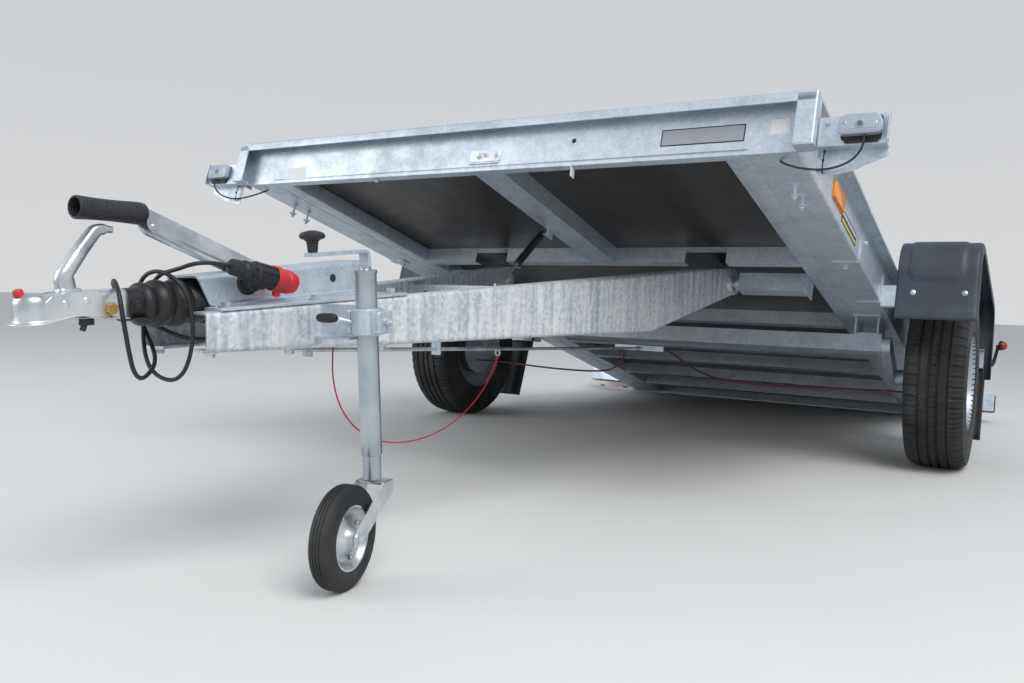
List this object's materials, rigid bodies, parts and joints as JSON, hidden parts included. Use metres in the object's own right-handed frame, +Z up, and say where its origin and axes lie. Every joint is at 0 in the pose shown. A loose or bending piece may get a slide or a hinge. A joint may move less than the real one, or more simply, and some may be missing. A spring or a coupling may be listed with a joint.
{
  "type": "flatbed trailer",
  "caption": "Single-axle braked flatbed trailer whose bed tilts rearward about its wheels, on a hinged A-frame drawbar with overrun coupling and jockey wheel.",
  "frame": {"origin": "On the ground at the centre of the object's box, parked with its tail edge, wheels and jockey wheel on the ground.", "axes": "+X is the trailer's left, -Y is forward (the coupling), +Z is up."},
  "size_m": [2.494, 4.5585, 1.0516],
  "materials": {
    "galvanised": "hot-dip galvanised sheet",
    "zinc": "zinc plated steel",
    "ply": "dark film-faced plywood",
    "tyre": "tyre rubber",
    "rubber": "black rubber",
    "plastic": "dark plastic",
    "clear": "clear lens over white",
    "amber": "amber reflector",
    "red": "red lens or plastic",
    "rim": "silver painted steel",
    "cast": "zinc plated casting",
    "plate": "blank white plate",
    "damper": "black painted cylinder",
    "cable_red": "red sheathed cable",
    "cable_black": "black sheathed cable"
  },
  "bodies": {
    "chassis": {"arm_lamp_left": "red", "arm_lamp_right": "red", "axle_beam": "galvanised", "axle_bracket_left": "galvanised", "axle_bracket_right": "galvanised", "brake_cables": "cable_red", "centre_stiffener": "galvanised", "floor_panel": "ply", "floor_ribs": "galvanised", "front_rail": "galvanised", "inner_rail_left": "galvanised", "inner_rail_right": "galvanised", "marker_lamp_left": "clear", "marker_lamp_right": "clear", "marker_leads": "cable_black", "mudguard_left": "plastic", "mudguard_right": "plastic", "number_plate": "plate", "pivot_stub_left": "galvanised", "pivot_stub_right": "galvanised", "side_brackets_left": "galvanised", "side_brackets_right": "galvanised", "side_rail_left": "galvanised", "side_rail_right": "galvanised", "side_reflector_left": "amber", "side_reflector_right": "amber", "swing_arm_left": "galvanised", "swing_arm_right": "galvanised", "tail_lamp_left": "red", "tail_lamp_right": "red", "tail_rail": "galvanised"},
    "wheel_left": {"tyre_left": "tyre", "wheel_rim_left": "rim"},
    "wheel_right": {"tyre_right": "tyre", "wheel_rim_right": "rim"},
    "drawbar": {"drawbar_beam_left": "galvanised", "drawbar_beam_right": "galvanised", "cross_member": "galvanised", "overrun_housing": "galvanised", "bellows": "rubber", "coupling_head": "cast", "coupling_handle": "zinc", "handbrake_lever": "galvanised", "handbrake_grip": "plastic", "brake_rod": "zinc", "rod_fittings": "galvanised", "jockey_tube": "galvanised", "jockey_clamp": "galvanised", "jockey_crank": "galvanised", "crank_knob": "plastic", "clamp_handle": "plastic", "lead": "cable_black", "lead_plug": "rubber", "breakaway_cable": "cable_red"},
    "jockey_post": {"jockey_inner_tube": "zinc"},
    "jockey_fork": {"jockey_fork": "galvanised"},
    "jockey_wheel": {"jockey_tyre": "rubber", "jockey_rim": "zinc"},
    "damper_cylinder": {"damper_cylinder": "damper"},
    "damper_rod": {"damper_rod": "zinc"}
  },
  "joints": [
    {"name": "wheel_left_spin", "type": "hinge", "parent": "chassis", "child": "wheel_left", "pos_m": [1.066, 0.50807, 0.315], "axis": [1, 0, 0], "continuous": true},
    {"name": "wheel_right_spin", "type": "hinge", "parent": "chassis", "child": "wheel_right", "pos_m": [-1.066, 0.50807, 0.315], "axis": [1, 0, 0], "continuous": true},
    {"name": "drawbar_tilt", "type": "hinge", "parent": "chassis", "child": "drawbar", "pos_m": [0, -0.08958, 0.63919], "axis": [1, 0, 0], "range_deg": [-18, 0]},
    {"name": "jockey_height", "type": "slide", "parent": "drawbar", "child": "jockey_post", "axis": [0, 0.0854, -0.9963], "range_m": [-0.035, 0.165]},
    {"name": "jockey_caster", "type": "hinge", "parent": "jockey_post", "child": "jockey_fork", "pos_m": [0.26, -1.69853, 0.198], "axis": [0, -0.0854, 0.9963], "continuous": true},
    {"name": "jockey_roll", "type": "hinge", "parent": "jockey_fork", "child": "jockey_wheel", "pos_m": [0.28638, -1.8072, 0.1], "axis": [0.9755, 0.2198, 0], "continuous": true},
    {"name": "damper_swing", "type": "hinge", "parent": "chassis", "child": "damper_cylinder", "pos_m": [-0.032, -0.54931, 0.7775], "axis": [1, 0, 0], "range_deg": [-48, 0]},
    {"name": "damper_stroke", "type": "slide", "parent": "damper_cylinder", "child": "damper_rod", "axis": [0, 0.815, 0.5795], "range_m": [0, 0.077]}
  ],
  "couplings": [
    {"joint": "damper_swing", "follows": "drawbar_tilt", "ratio": 2.5595},
    {"joint": "damper_stroke", "follows": "drawbar_tilt", "m_per_rad": -0.23986}
  ]
}
